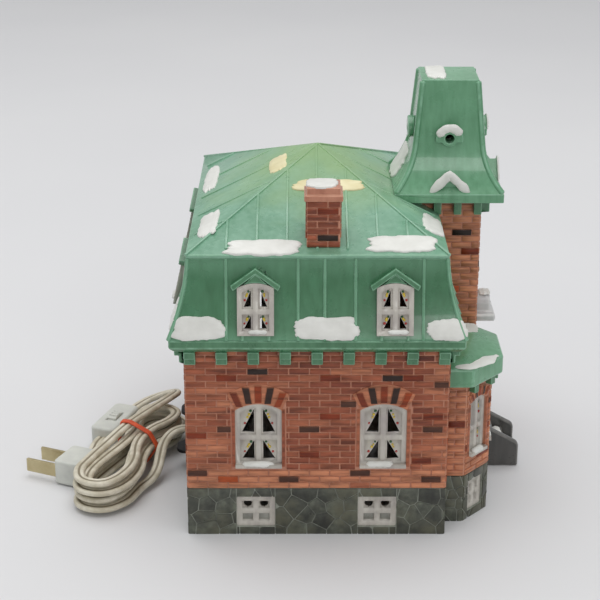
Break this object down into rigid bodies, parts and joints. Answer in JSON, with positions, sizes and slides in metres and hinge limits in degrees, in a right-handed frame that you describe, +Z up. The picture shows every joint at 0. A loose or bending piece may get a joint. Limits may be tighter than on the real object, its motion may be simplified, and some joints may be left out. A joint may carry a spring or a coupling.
{
  "type": "ceramic village house with lamp",
  "caption": "Glazed ceramic brick house with mansard roof, tower and bay, lit from inside by a clip-in lamp on a cord tied in a hank with a plug and a thumb-wheel switch.",
  "frame": {"origin": "centre of the main block's plan, on the surface it stands on", "axes": "+X to the front with the tower and bay, +Y to the far side, +Z up"},
  "size_m": [0.2322, 0.16, 0.1887],
  "materials": {
    "green_glaze": "glossy green glaze on cast earthenware, opaque",
    "brick_glaze": "glossy brick-red glaze on cast earthenware, opaque",
    "stone_glaze": "glossy grey-green glaze on cast earthenware, opaque",
    "frame_glaze": "glossy off-white glaze on cast earthenware, opaque",
    "step_glaze": "glossy grey glaze on cast earthenware, opaque",
    "door_glaze": "glossy brown glaze on cast earthenware, opaque",
    "bisque": "unglazed pale earthenware, opaque",
    "black_plastic": "black moulded plastic",
    "spring_steel": "black painted spring steel",
    "bulb_metal": "bright screw shell",
    "bulb_glass": "clear candle-shaped bulb",
    "cord_vinyl": "beige flexible vinyl, slightly glossy",
    "band_rubber": "orange-red rubber",
    "plug_plastic": "off-white moulded plastic",
    "blade_metal": "bare plug blades"
  },
  "bodies": {
    "house": {"base_floor": "bisque", "basement_windows": "frame_glaze", "bay_brackets": "green_glaze", "bay_foundation": "stone_glaze", "bay_roof": "green_glaze", "bay_walls": "brick_glaze", "bay_window_1": "frame_glaze", "bay_window_2": "frame_glaze", "bay_window_3": "frame_glaze", "bullseye_rims": "green_glaze", "chimney": "brick_glaze", "cord_hank": "cord_vinyl", "cord_lead": "cord_vinyl", "cord_loop": "cord_vinyl", "cord_tail": "cord_vinyl", "cornice": "green_glaze", "cornice_brackets": "green_glaze", "door": "door_glaze", "door_hood": "step_glaze", "far_dormer_frame_1": "frame_glaze", "far_dormer_frame_2": "frame_glaze", "far_dormer_hood_1": "green_glaze", "far_dormer_hood_2": "green_glaze", "far_window_1": "frame_glaze", "far_window_2": "frame_glaze", "foundation": "stone_glaze", "front_steps": "step_glaze", "front_window_1": "frame_glaze", "hank_band": "band_rubber", "house_walls": "brick_glaze", "lamp_socket": "black_plastic", "mansard_roof": "green_glaze", "near_dormer_frame_1": "frame_glaze", "near_dormer_frame_2": "frame_glaze", "near_dormer_hood_1": "green_glaze", "near_dormer_hood_2": "green_glaze", "near_window_1": "frame_glaze", "near_window_2": "frame_glaze", "plug_blades": "blade_metal", "plug_body": "plug_plastic", "rear_dormer_frame_1": "frame_glaze", "rear_dormer_frame_2": "frame_glaze", "rear_dormer_hood_1": "green_glaze", "rear_dormer_hood_2": "green_glaze", "rear_window_1": "frame_glaze", "rear_window_2": "frame_glaze", "step_cheeks": "step_glaze", "switch_body": "plug_plastic", "tower_brackets": "green_glaze", "tower_foundation": "stone_glaze", "tower_gables": "green_glaze", "tower_roof": "green_glaze", "tower_shaft": "brick_glaze", "tower_window_1": "frame_glaze", "upper_roof": "green_glaze"},
    "bulb": {"bulb_base": "bulb_metal", "bulb_glass": "bulb_glass"},
    "upper_clip": {"clip_upper": "spring_steel"},
    "lower_clip": {"clip_lower": "spring_steel"},
    "thumb_wheel": {"switch_wheel": "plug_plastic"}
  },
  "joints": [
    {"name": "bulb_turn", "type": "hinge", "parent": "house", "child": "bulb", "pos_m": [-0.034, -0.008, 0.0196], "axis": [1, 0, 0], "range_deg": [0, 1080]},
    {"name": "upper_clip_squeeze", "type": "hinge", "parent": "house", "child": "upper_clip", "pos_m": [-0.034, -0.008, 0.02805], "axis": [0, -1, 0], "range_deg": [0, 4], "stiffness_Nm_per_rad": 0.05},
    {"name": "lower_clip_squeeze", "type": "hinge", "parent": "house", "child": "lower_clip", "pos_m": [-0.034, -0.008, 0.01115], "axis": [0, 1, 0], "range_deg": [0, 4], "stiffness_Nm_per_rad": 0.05},
    {"name": "thumb_wheel_turn", "type": "hinge", "parent": "house", "child": "thumb_wheel", "pos_m": [-0.09843, 0.02213, 0.007], "axis": [-0.9415, 0.3371, 0], "continuous": true}
  ]
}
